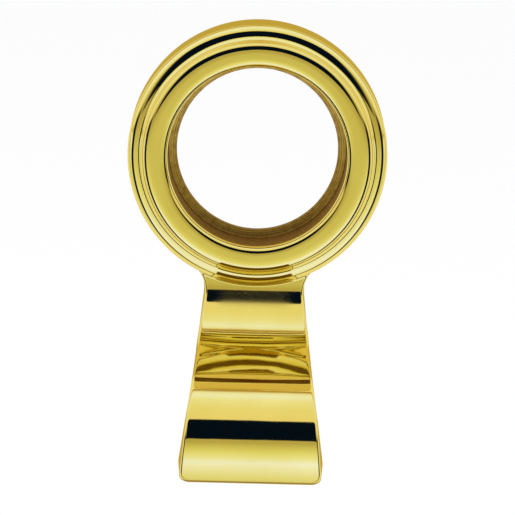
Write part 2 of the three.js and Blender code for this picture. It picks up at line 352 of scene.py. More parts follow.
def back_at(s):
    """(reach, z) of the back opposite arc length s: flat foot, its rounded end, then the plate."""
    flat_end = FOOT_BOTTOM_Z + FOOT_ROUNDING
    if s <= 0:
        return 0.0, float(front_at(s)[1])
    if s <= FOOT_FLAT_S:
        return 0.0, NECK_TOP_Z + (flat_end - NECK_TOP_Z) * s / FOOT_FLAT_S
    if s <= FOOT_TURN_S:
        angle = (s - FOOT_FLAT_S) / (FOOT_TURN_S - FOOT_FLAT_S) * math.pi / 2
        return (FOOT_ROUNDING * (1 - math.cos(angle)), flat_end - FOOT_ROUNDING * math.sin(angle))
    if s < FOOT_JOIN_S:
        t = (s - FOOT_TURN_S) / (FOOT_JOIN_S - FOOT_TURN_S)
        end = plate_back_at(FOOT_JOIN_S)
        tilt = front_at(FOOT_JOIN_S)[2]
        handle = 2.2            # length of the joining curve's handle at the plate
        control = ((FOOT_ROUNDING, FOOT_BOTTOM_Z),
                   (FOOT_ROUNDING + handle * 0.6, FOOT_BOTTOM_Z),
                   (end[0] - handle * math.sin(tilt), end[1] + handle * math.cos(tilt)),
                   end)
        weights = ((1 - t) ** 3, 3 * t * (1 - t) ** 2, 3 * t * t * (1 - t), t ** 3)
        return tuple(sum(w * c[k] for w, c in zip(weights, control)) for k in (0, 1))
    return plate_back_at(s)


FILLET_X = NECK_HALF_WIDTH + ROOT_FILLET
FILLET_Z = -math.sqrt((RING_RADIUS + ROOT_FILLET) ** 2 - FILLET_X ** 2)
FLARE_ANGLE = math.atan(FLARE_SLOPE)
DRAFT_ANGLE = math.atan(SIDE_DRAFT / PULL_THICKNESS)
FACE_INSET = SIDE_DRAFT + EDGE_ROUNDING / math.cos(DRAFT_ANGLE)


def past_knee(z):
    """How far z lies below the flare's knee, easing in around it."""
    below = KNEE_Z - z
    easing = np.clip(below + KNEE_BLEND, 0, 2 * KNEE_BLEND) ** 2 / (4 * KNEE_BLEND)
    return easing + np.maximum(below - KNEE_BLEND, 0)


def half_width(z, inset=0.0):
    """Half the pull's width at height z: a fillet out of the ring, then the flare.

    With an inset, the same for the outline that runs that far inside the widest one.
    """
    radius = ROOT_FILLET + inset
    flare_x = FILLET_X - radius * math.cos(FLARE_ANGLE)
    flare_z = FILLET_Z - radius * math.sin(FLARE_ANGLE)
    z = np.asarray(z, float)
    fillet = FILLET_X - np.sqrt(np.maximum(radius ** 2 - (z - FILLET_Z) ** 2, 0))
    flare = flare_x + FLARE_SLOPE * (flare_z - z) - (FLARE_SLOPE - LIP_SLOPE) * past_knee(z)
    return np.where(z < flare_z, flare, fillet)


# ------------------------------------------------------------ the pull's mesh

def edge_profiles():
    """Outward offset and depth across the pull's edge, for the sides and for the lip's end.

    The sides turn in from the front on a small radius, then spread to the back by the draft.
    """
    thick = PULL_THICKNESS

    def on_side(depth, inward):
        return (SIDE_DRAFT * depth / thick + (EDGE_ROUNDING - inward) / math.cos(DRAFT_ANGLE), depth)

    side = [on_side(EDGE_ROUNDING * (1 - math.cos(a)), EDGE_ROUNDING * (1 - math.sin(a)))
            for a in np.linspace(0, math.pi / 2, 11)]
    side += [on_side(depth, 0.0) for depth in np.linspace(EDGE_ROUNDING, thick - BACK_EDGE, 5)[1:]]
    side += [(FACE_INSET - BACK_EDGE * (1 - math.cos(a)), thick - BACK_EDGE * (1 - math.sin(a)))
             for a in np.linspace(0, math.pi / 2, 5)[1:]]
    angles = np.linspace(0, math.pi, len(side))
    end = [(math.sin(a), (1 - math.cos(a)) / 2) for a in angles]
    return side, end


def face_grid():
    """Rows of (x, arc length) over the pull's front face, from inside the ring to the lip."""
    edge_x = FILLET_X / math.hypot(FILLET_X, FILLET_Z) * (RING_RADIUS - FACE_INSET)
    across = np.linspace(-1, 1, COLUMNS + 1)
    top = -np.sqrt((RING_RADIUS - FACE_INSET) ** 2 - (edge_x * across) ** 2)
    grid = []
    for share in np.arange(0, 1, 1 / TOP_ROWS):
        z = top + (NECK_TOP_Z - top) * share
        x = half_width(z[0], FACE_INSET) * across
        grid.append(list(zip(x, np.interp(-z, -FRONT_Z, FRONT_S))))
    corner = FRONT_LENGTH - LIP_CORNER
    lengths = list(np.arange(0.0, corner, ROW_LENGTH))
    lengths += [corner + LIP_CORNER * math.sin(a) for a in np.radians(np.linspace(4, 90, 12))]
    for s in lengths:
        past = max(s - corner, 0)
        edge = half_width(front_at(s)[1], FACE_INSET) - LIP_CORNER + math.sqrt(LIP_CORNER ** 2 - past ** 2)
        grid.append([(edge * u, s) for u in across])
    return np.array(grid)


def solid_point(x, s, depth, from_back=False):
    """A point between the front and the back at arc length s, by its depth from either one."""
    front_reach, front_z, _ = front_at(s)
    back_reach, back_z = back_at(s)
    span = math.hypot(front_reach - back_reach, front_z - back_z)
    share = 1 - depth / span if from_back else depth / span
    return (x, front_reach + (back_reach - front_reach) * share,
            front_z + (back_z - front_z) * share)


def face_border(flat):
    """The border of the face grid: its cells, their (x, s) and the directions out of the face.

    It runs down the left, along the lip and up the right.
    """
    last_row = len(flat) - 1
    cells = [(i, 0) for i in range(last_row + 1)]
    cells += [(last_row, j) for j in range(1, COLUMNS)]
    cells += [(i, COLUMNS) for i in range(last_row, -1, -1)]
    border = np.array([flat[cell] for cell in cells])
    tangent = np.gradient(border, axis=0)
    outward = np.stack((-tangent[:, 1], tangent[:, 0]), axis=1)
    for end, side in ((0, -1), (-1, 1)):
        outward[end] = (side * FILLET_X - border[end][0], NECK_TOP_Z - FILLET_Z - border[end][1])
    outward /= np.linalg.norm(outward, axis=1)[:, None]
    return cells, border, outward


def edge_point(point, outward, side, end):
    """A point on the pull's edge, and its shift in (x, s) from the border of the front face.

    side and end are the places in the two edge profiles that are mixed round the lip's corners.
    """
    x, s = point
    weight = max(outward[1], 0) ** 2 if s > FRONT_LENGTH - LIP_CORNER - 0.01 else 0.0
    thick = float(thickness_at(s))
    out = side[0] * (1 - weight) + end[0] * thick / 2 * weight
    depth = side[1] * (1 - weight) + end[1] * thick * weight
    scale = thick / PULL_THICKNESS if weight == 0 else 1.0
    nearer_back = depth > thick / 2
    if nearer_back:
        full = PULL_THICKNESS * (1 - weight) + thick * weight
        depth = max(full - depth, 0)
    shift = out * outward
    return solid_point(x + shift[0], s + shift[1], depth * scale, nearer_back), shift


def quads(index):
    """The faces between the rows and columns of a grid of vertex numbers."""
    return [(index[i, j], index[i, j + 1], index[i + 1, j + 1], index[i + 1, j])
            for i in range(index.shape[0] - 1) for j in range(index.shape[1] - 1)]


def pull_object():
    flat = face_grid()
    row_count = len(flat)
    cells, border, outward = face_border(flat)
    vertices = [solid_point(x, s, 0) for row in flat for x, s in row]
    front_index = np.arange(len(vertices)).reshape(row_count, COLUMNS + 1)
    strips = [[front_index[cell] for cell in cells]]
    for side, end in list(zip(*edge_profiles()))[1:]:
        edge = [edge_point(point, way, side, end) for point, way in zip(border, outward)]
        strips.append(list(range(len(vertices), len(vertices) + len(edge))))
        vertices += [point for point, _ in edge]

    # the back face shares the last strip and follows the front's rows between its two sides
    border_index = dict(zip(cells, strips[-1]))
    border_shift = dict(zip(cells, (shift for _, shift in edge)))
    back_index = np.zeros_like(front_index)
    for i in range(row_count):
        for j in range(COLUMNS + 1):
            if (i, j) in border_index:
                back_index[i, j] = border_index[i, j]
                continue
            u = j / COLUMNS
            x, s = flat[i, j] + border_shift[i, 0] * (1 - u) + border_shift[i, COLUMNS] * u
            back_index[i, j] = len(vertices)
            vertices.append(solid_point(x, s, 0, from_back=True))

    polished = quads(front_index) + quads(np.array(strips))
    cast = [(face[0], face[3], face[2], face[1]) for face in quads(back_index)]
    cast += [(front_index[0, j], back_index[0, j], back_index[0, j + 1], front_index[0, j + 1])
             for j in range(COLUMNS)]
    cast += [[strip[end] for strip in strips] for end in (0, -1)]
    faces = [[int(v) for v in face] for face in polished + cast]
    return make_object("pull", vertices, faces, [POLISHED] * len(polished) + [CAST] * len(cast))


# ------------------------------------------------------------ the fillet where neck meets ring

def bead_distance(radius, reach):
    """Signed distance from the ring's outside wall and bead, with smoothly turning normals."""
    wall = np.array(((RING_RADIUS, 0.0, math.pi / 2),))
    path = np.concatenate((wall, RING_FRONT[RING_FRONT[:, 0] > RING_RADIUS - BEAD_WIDTH]))
    points = np.stack((radius, reach), axis=1)
    nearest = np.full(len(points), np.inf)
    signed = np.zeros(len(points))
    for start, end in zip(path[:-1], path[1:]):
        run = end[:2] - start[:2]
        share = np.clip((points - start[:2]) @ run / (run @ run), 0, 1)
        gap = points - start[:2] - share[:, None] * run
        tilt = start[2] + (end[2] - start[2]) * share
        distance = np.linalg.norm(gap, axis=1)
        closer = distance < nearest
        nearest = np.where(closer, distance, nearest)
        signed = np.where(closer, gap[:, 0] * np.sin(tilt) + gap[:, 1] * np.cos(tilt), signed)
    return signed


def side_distance(x, reach, z):
    """Signed distance from the neck's drafted sides; far outside beyond the fillet's end."""
    fillet = ROOT_FILLET - np.hypot(np.abs(x) - FILLET_X, z - FILLET_Z)
    flare_x = FILLET_X - ROOT_FILLET * math.cos(FLARE_ANGLE)
    flare_z = FILLET_Z - ROOT_FILLET * math.sin(FLARE_ANGLE)
    flare = (np.abs(x) - flare_x - FLARE_SLOPE * (flare_z - z)) * math.cos(FLARE_ANGLE)
    below = z - FILLET_Z < (np.abs(x) - FILLET_X) * FLARE_SLOPE
    plan = np.where(below, flare, fillet)
    past_end = (np.abs(x) * -FILLET_Z + z * FILLET_X) / math.hypot(FILLET_X, FILLET_Z)
    draft = SIDE_DRAFT * np.clip(1 - (NECK_REACH - reach) / PULL_THICKNESS, 0, 1)
    return np.maximum((plan + draft) * math.cos(DRAFT_ANGLE), past_end)


def round_join(a, b, radius):
    """Both solids, with a fillet of this radius where they meet."""
    return np.maximum(radius, np.minimum(a, b)) - np.hypot(np.maximum(radius - a, 0),
                                                           np.maximum(radius - b, 0))


def round_cut(a, b, radius):
    """What two solids share, with the edge between them rounded."""
    return -round_join(-a, -b, radius)


def blended(points):
    """Signed distance from the ring's bead and the neck, joined by a small fillet."""
    x, reach, z = points.T
    ring = bead_distance(np.hypot(x, z), reach)
    tilt = np.interp(-z, -FRONT_Z, FRONT_TILT)
    front = (reach - np.interp(-z, -FRONT_Z, FRONT_REACH)) * np.cos(tilt)
    neck = round_cut(round_join(ring, front, NECK_BLEND), side_distance(x, reach, z), EDGE_ROUNDING)
    return np.minimum(ring, neck)


def gradient(points):
    step = 0.03
    columns = []
    for axis in range(3):
        shift = np.zeros(3)
        shift[axis] = step
        columns.append((blended(points + shift) - blended(points - shift)) / (2 * step))
    return np.stack(columns, axis=1)


JOINT_REACHES = (4.6, 7.9)
JOINT_OUTSIDE = 1.6             # the joint's zone runs this far out from the ring's outside
JOINT_MARGIN = 0.3
JOINT_EDGE = 0.17               # edges longer than this are split
REFINED = 0.6                   # the mesh is refined this close to the joint's surface,
MOVED = 0.45                    # its vertices are moved onto it from this close,
EXACT = 0.02                    # and those that lie this close get its own normals
REFINE_PASSES = 3
MOVE_STEPS = 4


def near_joint(points, distance):
    """True for points close to both the ring's bead and the neck, and to their joint's surface."""
    x, reach, z = points.T
    radius = np.hypot(x, z)
    lowest, highest = JOINT_REACHES
    return ((radius > RING_RADIUS - BEAD_WIDTH + JOINT_MARGIN) & (radius < RING_RADIUS + JOINT_OUTSIDE)
            & (z < 0) & (reach > lowest) & (reach < highest)
            & (np.abs(x) < half_width(z) + JOINT_MARGIN) & (np.abs(blended(points)) < distance))


def to_local(mesh):
    coordinates = np.empty(len(mesh.vertices) * 3)
    mesh.vertices.foreach_get("co", coordinates)
    x, y, z = coordinates.reshape(-1, 3).T / MM
    return np.stack((x, -y, z - BORE_HEIGHT), axis=1)


def blend_joint(obj):
    """Refines the mesh where neck meets ring and moves its nearest vertices onto the fillet."""
    fine = bmesh.new()
    fine.from_mesh(obj.data)
    for _ in range(REFINE_PASSES):
        points = np.array([(v.co.x / MM, -v.co.y / MM, v.co.z / MM - BORE_HEIGHT) for v in fine.verts])
        zone = near_joint(points, REFINED)
        fine.verts.ensure_lookup_table()
        marked = {v for v, inside in zip(fine.verts, zone) if inside}
        faces = [f for f in fine.faces if any(v in marked for v in f.verts) and len(f.verts) > 3]
        bmesh.ops.triangulate(fine, faces=faces)
        edges = [e for e in fine.edges if e.calc_length() > JOINT_EDGE * MM
                 and e.verts[0] in marked and e.verts[1] in marked]
        bmesh.ops.subdivide_edges(fine, edges=edges, cuts=1, use_grid_fill=True)
        faces = [f for f in fine.faces if len(f.verts) > 4]
        bmesh.ops.triangulate(fine, faces=faces)
    fine.to_mesh(obj.data)
    fine.free()
    points = to_local(obj.data)
    zone = near_joint(points, MOVED)
    chosen = points[zone]
    for _ in range(MOVE_STEPS):
        slope = gradient(chosen)
        size = np.maximum((slope ** 2).sum(axis=1), 0.2)
        chosen = chosen - slope * (blended(chosen) / size)[:, None]
    points[zone] = chosen
    flat = np.array([place(*p) for p in points]).ravel()
    obj.data.vertices.foreach_set("co", flat)
    obj.data.update()


def finish_normals(obj):
    """Smooth shading that keeps large flats flat and sharp edges sharp."""
    obj.data.polygons.foreach_set("use_smooth", [True] * len(obj.data.polygons))
    obj.data.set_sharp_from_angle(angle=math.radians(SHARP_ANGLE))
    modifier = obj.modifiers.new("weighted", "WEIGHTED_NORMAL")
    modifier.mode = "FACE_AREA"
    modifier.keep_sharp = True
    apply_modifiers(obj)


def joint_normals(obj):
    """Gives the small fillet where neck meets ring its own exact normals."""
    mesh = obj.data
    points = to_local(mesh)
    zone = near_joint(points, EXACT)
    slope = gradient(points[zone])
    slope /= np.linalg.norm(slope, axis=1)[:, None]
    exact = np.zeros((len(points), 3))
    exact[zone] = np.stack((slope[:, 0], -slope[:, 1], slope[:, 2]), axis=1)
    corner_vertex = np.empty(len(mesh.loops), int)
    mesh.loops.foreach_get("vertex_index", corner_vertex)
    normals = np.array([n.vector for n in mesh.corner_normals])
    own = zone[corner_vertex]
    agree = (normals * exact[corner_vertex]).sum(axis=1) > 0.5
    normals[own & agree] = exact[corner_vertex][own & agree]
    mesh.normals_split_custom_set(normals.tolist())


def add_spike_seat(ring, x):
    """A boss in the ring's channel with a blind hole for one spike."""
    boss = revolve("boss", [
        (0, CHANNEL_DEPTH + BOSS_ROOT),
        (SPIKE_BOSS_RADIUS, CHANNEL_DEPTH + BOSS_ROOT),
        (SPIKE_BOSS_RADIUS, BOSS_EDGE),
        (SPIKE_BOSS_RADIUS - BOSS_EDGE, 0),
        (0, 0),
    ], 48, (x, 0.0), lambda index: CAST)
    hole = revolve("hole", [
        (0, SPIKE_HOLE_DEPTH),
        (SPIKE_HOLE_RADIUS, SPIKE_HOLE_DEPTH),
        (SPIKE_HOLE_RADIUS, -1),
        (0, -1),
    ], 48, (x, 0.0), lambda index: MACHINED)
    boolean(ring, boss, "UNION")
    boolean(ring, hole, "DIFFERENCE")


def screw_hole():
    """The blind hole behind the neck: a drill's point at its bottom and a chamfer at its mouth."""
    return revolve("hole", [
        (0, SCREW_HOLE_DEPTH),
        (SCREW_HOLE_RADIUS, SCREW_HOLE_DEPTH - DRILL_POINT),
        (SCREW_HOLE_RADIUS, HOLE_CHAMFER - 0.1),
        (SCREW_HOLE_RADIUS + HOLE_CHAMFER, -0.1),
        (SCREW_HOLE_RADIUS + HOLE_CHAMFER, -1),
        (0, -1),
    ], 64, (0.0, SCREW_Z), lambda index: MACHINED)


def brass_casting():
    outline, finishes = ring_outline()
    ring = revolve("cast_brass_pull", outline, material_of=lambda index: finishes[index])
    boolean(ring, pull_object(), "UNION")
    blend_joint(ring)
    for side in (-1, 1):
        add_spike_seat(ring, side * SPIKE_SPACING)
    boolean(ring, screw_hole(), "DIFFERENCE")
    finish_normals(ring)
    joint_normals(ring)
    return ring


# ------------------------------------------------------------ fixings

SPIKE_RADIUS = 1.0
SPIKE_SEAT = 3.2
SPIKE_POINT = 3.5
SPIKE_GROOVE = 0.93


def spike(name, x):
    """A turned steel pin: plain seat, a shallow groove, then a long point with a blunted tip."""
    outline = [
        (0, SPIKE_SEAT),
        (SPIKE_RADIUS - 0.3, SPIKE_SEAT),
        (SPIKE_RADIUS - 0.05, SPIKE_SEAT - 0.25),
        (SPIKE_RADIUS, SPIKE_SEAT - 0.4),
        (SPIKE_RADIUS, 0.3),
        (SPIKE_GROOVE, 0.15),
        (SPIKE_GROOVE, -0.1),
        (SPIKE_RADIUS, -0.25),
        (SPIKE_RADIUS, -0.8),
        (SPIKE_RADIUS - 0.03, -0.95),
        (0.2, 0.15 - SPIKE_POINT),
        (0.1, 0.04 - SPIKE_POINT),
        (0, -SPIKE_POINT),
    ]
    pin = revolve(name, outline, 64, (x, 0.0))
    finish_normals(pin)
    return pin


SCREW_RADIUS = 2.0
SCREW_TIP = 4.9
THREAD_PITCH = 0.7
THREAD_DEPTH = 0.38
THREAD_END = -22.0
DOOR_THICKNESS = 44.0
CUP_RADIUS = 5.2
CUP_THICKNESS = 0.6
CUP_MOUTH = 4.3
HEAD_SEAT = -DOOR_THICKNESS - CUP_THICKNESS
HEAD_CONE = 2.0
HEAD_RADIUS = 3.8
HEAD_DOME = 0.98
SLOT_WIDTH = 1.1
SLOT_DEPTH = 1.1


def thread_radius(turns):
    """Radius of a V thread with a flattened crest and root, by turns along its helix."""
    share = abs((turns % 1.0) * 2 - 1)
    return SCREW_RADIUS - THREAD_DEPTH * float(np.clip((share - 0.12) / 0.76, 0, 1))


def fixing_screw():
    """A machine screw with a true helical thread on its inner half and a slotted raised head."""
    steps = 48
    per_turn = 10
    reaches = np.arange(SCREW_TIP, THREAD_END, -THREAD_PITCH / per_turn)
    angles = np.linspace(0, 2 * math.pi, steps, endpoint=False)
    vertices, rings = [(0.0, SCREW_TIP, SCREW_Z)], []

    def add_ring(reach, radii):
        rings.append(list(range(len(vertices), len(vertices) + steps)))
        vertices.extend((r * math.sin(a), reach, SCREW_Z + r * math.cos(a)) for r, a in zip(radii, angles))

    for reach in reaches:
        lead_in = SCREW_RADIUS - THREAD_DEPTH - 0.15 + (SCREW_TIP - reach) * 0.9
        run_out = np.clip((reach - THREAD_END) / THREAD_PITCH, 0, 1)
        radii = []
        for a in angles:
            cut = thread_radius((SCREW_TIP - reach) / THREAD_PITCH + a / (2 * math.pi))
            cut = SCREW_RADIUS - (SCREW_RADIUS - cut) * run_out
            radii.append(min(cut, lead_in))
        add_ring(reach, radii)
    plain = [(SCREW_RADIUS, THREAD_END), (SCREW_RADIUS, HEAD_SEAT + 0.1), (SCREW_RADIUS + 0.1, HEAD_SEAT)]
    plain += [(HEAD_RADIUS - 0.12, HEAD_SEAT - HEAD_CONE + 0.12), (HEAD_RADIUS, HEAD_SEAT - HEAD_CONE)]
    dome = ellipse((0, HEAD_SEAT - HEAD_CONE), (HEAD_RADIUS, -HEAD_DOME), 4, 86, 12)
    for radius, reach in plain + dome:
        add_ring(reach, [radius] * steps)
    vertices.append((0.0, HEAD_SEAT - HEAD_CONE - HEAD_DOME, SCREW_Z))
    faces = [(0, rings[0][(k + 1) % steps], rings[0][k]) for k in range(steps)]
    for low, high in zip(rings, rings[1:]):
        faces += [(low[k], low[(k + 1) % steps], high[(k + 1) % steps], high[k]) for k in range(steps)]
    top = len(vertices) - 1
    faces += [(rings[-1][k], rings[-1][(k + 1) % steps], top) for k in range(steps)]
    screw = make_object("brass_machine_screw", vertices, faces)
    boolean(screw, slot_cutter(), "DIFFERENCE")
    finish_normals(screw)
    return screw


def slot_cutter():
    """A bar across the screw's head, turned a little, as a fitter would leave it."""
    top = HEAD_SEAT - HEAD_CONE - HEAD_DOME
    half, floor = SLOT_WIDTH / 2, top + SLOT_DEPTH
    turn = math.radians(24)
    along = np.array((math.cos(turn), math.sin(turn)))
    across = np.array((-math.sin(turn), math.cos(turn)))
    section = [(-half, floor + 0.12), (-half + 0.12, floor), (half - 0.12, floor), (half, floor + 0.12),
               (half + 0.05, top + 0.35), (half + 0.3, top - 0.6), (-half - 0.3, top - 0.6),
               (-half - 0.05, top + 0.35)]
    vertices = []
    for end in (-2 * HEAD_RADIUS, 2 * HEAD_RADIUS):
        for offset, reach in section:
            x, z = along * end + across * offset
            vertices.append((x, reach, z + SCREW_Z))
    count = len(section)
    faces = [tuple(range(count)), tuple(range(2 * count - 1, count - 1, -1))]
    faces += [(k, k + count, (k + 1) % count + count, (k + 1) % count) for k in range(count)]
    return make_object("slot", vertices, faces)


def cup_washer():
    rim = -DOOR_THICKNESS
    mouth = HEAD_SEAT - HEAD_CONE
    outline = rounded([
        (SCREW_HOLE_RADIUS, rim - 0.15, 0),
        (SCREW_HOLE_RADIUS, rim, 0.06),
        (CUP_RADIUS, rim, 0.12),
        (CUP_RADIUS, rim - CUP_THICKNESS, 0.25),
        (CUP_MOUTH + CUP_THICKNESS, mouth, 0.22),
        (CUP_MOUTH, mouth, 0.15),
        (SCREW_HOLE_RADIUS, rim - 0.3, 0.08),
        (SCREW_HOLE_RADIUS, rim - 0.16, 0),
    ], 5)
    cup = revolve("brass_cup_washer", outline, 128, (0.0, SCREW_Z))
    finish_normals(cup)
    return cup


# ------------------------------------------------------------ materials

class Nodes:
    """Shorthand for building a node tree."""

    def __init__(self, tree):
        self.tree = tree
        tree.nodes.clear()

    def add(self, kind, inputs=None, **settings):
        node = self.tree.nodes.new(kind)
        for key, value in settings.items():
            setattr(node, key, value)
        for key, value in (inputs or {}).items():
            if isinstance(value, bpy.types.NodeSocket):
                self.tree.links.new(value, node.inputs[key])
            else:
                node.inputs[key].default_value = value
        return node

    def math(self, operation, a, b=0.0):
        return self.add("ShaderNodeMath", {0: a, 1: b}, operation=operation).outputs[0]

    def between(self, value, low, high, to_low=0.0, to_high=1.0):
        node = self.add("ShaderNodeMapRange", {"Value": value, "From Min": low, "From Max": high,
                                               "To Min": to_low, "To Max": to_high},
                        interpolation_type="SMOOTHSTEP")
        return node.outputs["Result"]

    def window(self, value, rises, full, falls, gone):
        """1 between full and falls, 0 outside rises and gone."""
        return self.math("MULTIPLY", self.between(value, rises, full),
                         self.between(value, falls, gone, 1.0, 0.0))

    def mix(self, share, a, b):
        node = self.add("ShaderNodeMix", data_type="RGBA")
        for socket, value in (("Factor", share), ("A", a), ("B", b)):
            slots = [s for s in node.inputs if s.name == socket and s.enabled]
            if isinstance(value, bpy.types.NodeSocket):
                self.tree.links.new(value, slots[0])
            else:
                slots[0].default_value = value
        return [s for s in node.outputs if s.enabled][0]

    def ramp(self, value, stops):
        node = self.add("ShaderNodeValToRGB", {"Fac": value})
        elements = node.color_ramp.elements
        while len(elements) > 1:
            elements.remove(elements[-1])
        elements[0].position = stops[0][0]
        elements[0].color = (*stops[0][1], 1)
        for position, colour in stops[1:]:
            elements.new(position).color = (*colour, 1)
        return node.outputs["Color"]


def new_material(name):
    material = bpy.data.materials.new(name)
    material.use_nodes = True
    return material, Nodes(material.node_tree)


BEND_SIDES = (4.5, 8.5)                 # mm aside, over which the blur in the bend fades out
BEND_HEIGHTS = (-4.5, -2.5, -0.8, 0.2)  # mm above the frame's origin, where it comes and goes
BEND_BLUR = 0.17
BEND_LACQUER_BLUR = 0.2


def polished_brass():
    """Lacquered brass off a polishing mop: a mirror with faint waves and hairlines.

    The mop could not reach deep into the bend under the ring, which stays a little blurred.
    """
    material, n = new_material("polished_lacquered_brass")
    where = n.add("ShaderNodeTexCoord").outputs["Object"]
    waves = n.add("ShaderNodeTexNoise", {"Vector": where, "Scale": 260.0, "Detail": 1.0})
    stretched = n.add("ShaderNodeMapping", {"Vector": where, "Scale": (9000.0, 1400.0, 1400.0)})
    hairlines = n.add("ShaderNodeTexNoise", {"Vector": stretched.outputs[0], "Scale": 1.0, "Detail": 3.0})
    wave_bump = n.add("ShaderNodeBump", {"Height": waves.outputs["Fac"], "Strength": 0.04,
                                         "Distance": 0.0004})
    fine_bump = n.add("ShaderNodeBump", {"Height": hairlines.outputs["Fac"], "Strength": 0.03,
                                         "Distance": 0.00001, "Normal": wave_bump.outputs[0]})
    cloud = n.add("ShaderNodeTexNoise", {"Vector": where, "Scale": 90.0, "Detail": 3.0})
    colour = n.ramp(cloud.outputs["Fac"], [(0.35, (0.80, 0.635, 0.115)), (0.7, (0.84, 0.675, 0.14))])
    x, _, z = n.add("ShaderNodeSeparateXYZ", {0: where}).outputs
    in_bend = n.math("MULTIPLY",
                     n.between(n.math("ABSOLUTE", x), *(side * MM for side in BEND_SIDES), 1.0, 0.0),
                     n.window(z, *(height * MM for height in BEND_HEIGHTS)))
    polish = n.between(hairlines.outputs["Fac"], 0.35, 0.75, 0.035, 0.075)
    shader = n.add("ShaderNodeBsdfPrincipled", {
        "Base Color": colour, "Metallic": 1.0,
        "Roughness": n.math("ADD", polish, n.math("MULTIPLY", in_bend, BEND_BLUR)),
        "Normal": fine_bump.outputs[0], "Coat Weight": 0.7, "Coat IOR": 1.5,
        "Coat Roughness": n.math("ADD", n.math("MULTIPLY", in_bend, BEND_LACQUER_BLUR), 0.02),
        "Coat Normal": wave_bump.outputs[0],
    })
    n.add("ShaderNodeOutputMaterial", {"Surface": shader.outputs[0]})
    return material


def distance_from_axis(n, where, centre_x, centre_z):
    """Distance from an axis along Y, in metres; the axis counts on both sides of x = 0."""
    x, _, z = n.add("ShaderNodeSeparateXYZ", {0: where}).outputs
    across = n.add("ShaderNodeCombineXYZ", {
        "X": n.math("SUBTRACT", n.math("ABSOLUTE", x), centre_x * MM),
        "Y": n.math("SUBTRACT", z, centre_z * MM),
    })
    return n.add("ShaderNodeVectorMath", {0: across.outputs[0]}, operation="LENGTH").outputs["Value"]


def lathe_marks(n, where, centre_x, centre_z, fineness, detail):
    """Noise that runs in rings round an axis along Y, on faces and on walls alike."""
    _, y, _ = n.add("ShaderNodeSeparateXYZ", {0: where}).outputs
    along = n.math("ADD", y, distance_from_axis(n, where, centre_x, centre_z))
    ring = n.add("ShaderNodeCombineXYZ", {"X": n.math("MULTIPLY", along, fineness)})
    marks = n.add("ShaderNodeTexNoise", {"Vector": ring.outputs[0], "Scale": 1.0, "Detail": detail,
                                         "Roughness": 0.7})
    return marks.outputs["Fac"]


def machined_bore():
    """The turned bore: coarse tool marks that catch the light, and painted shade that keeps the wall
    browner and darker than its ledge.
    """
    material, n = new_material("machined_bore_brass")
    where = n.add("ShaderNodeTexCoord").outputs["Object"]
    grooves = lathe_marks(n, where, 0.0, BORE_HEIGHT, 2900.0, 4.0)
    stain = n.add("ShaderNodeTexNoise", {"Vector": where, "Scale": 900.0, "Detail": 5.0})
    both = n.math("ADD", n.math("MULTIPLY", grooves, 0.85), n.math("MULTIPLY", stain.outputs["Fac"], 0.15))
    # Two copies of one colour, mixed below by which way the face looks: the wall's darker, browner copy is
    # painted shade, and the ledge's is the lit one.
    wall = n.ramp(both, [(0.40, (0.13, 0.055, 0.012)), (0.54, (0.24, 0.12, 0.026)),
                         (0.60, (0.55, 0.35, 0.09))])
    ledge = n.ramp(both, [(0.40, (0.26, 0.12, 0.02)), (0.50, (0.66, 0.42, 0.08)),
                          (0.60, (0.92, 0.68, 0.20))])
    normal = n.add("ShaderNodeNewGeometry").outputs["Normal"]
    _, away, _ = n.add("ShaderNodeSeparateXYZ", {0: normal}).outputs
    colour = n.mix(n.between(away, -0.8, -0.3), ledge, wall)
    bump = n.add("ShaderNodeBump", {"Height": grooves, "Strength": 0.7, "Distance": 0.0002})
    shader = n.add("ShaderNodeBsdfPrincipled", {
        "Base Color": colour, "Metallic": 1.0, "Roughness": n.between(both, 0.3, 0.7, 0.42, 0.24),
        "Normal": bump.outputs[0],
    })
    n.add("ShaderNodeOutputMaterial", {"Surface": shader.outputs[0]})
    return material


def cast_back():
    """The back as it left the sand: dull and finely pitted, with painted shade darkening its hollows."""
    material, n = new_material("cast_back_brass")
    where = n.add("ShaderNodeTexCoord").outputs["Object"]
    grain = n.add("ShaderNodeTexNoise", {"Vector": where, "Scale": 2600.0, "Detail": 4.0})
    pits = n.add("ShaderNodeTexVoronoi", {"Vector": where, "Scale": 1500.0})
    stain = n.add("ShaderNodeTexNoise", {"Vector": where, "Scale": 180.0, "Detail": 5.0})
    height = n.math("ADD", grain.outputs["Fac"], n.math("MULTIPLY", pits.outputs["Distance"], 0.6))
    colour = n.ramp(stain.outputs["Fac"], [(0.3, (0.44, 0.29, 0.09)), (0.55, (0.62, 0.44, 0.15)),
                                           (0.75, (0.70, 0.53, 0.21))])
    # painted shade: where ambient occlusion finds the back enclosed, a dark brown is mixed into its colour
    hollow = n.add("ShaderNodeAmbientOcclusion", {"Distance": 0.004, "Color": (1, 1, 1, 1)})
    shaded = n.mix(n.between(hollow.outputs["AO"], 0.2, 0.9), (0.26, 0.16, 0.05, 1), colour)
    bump = n.add("ShaderNodeBump", {"Height": height, "Strength": 0.5, "Distance": 0.00006})
    shader = n.add("ShaderNodeBsdfPrincipled", {
        "Base Color": shaded, "Metallic": 0.9,
        "Roughness": n.between(grain.outputs["Fac"], 0.3, 0.7, 0.38, 0.55),
        "Normal": bump.outputs[0],
    })
    n.add("ShaderNodeOutputMaterial", {"Surface": shader.outputs[0]})
    return material


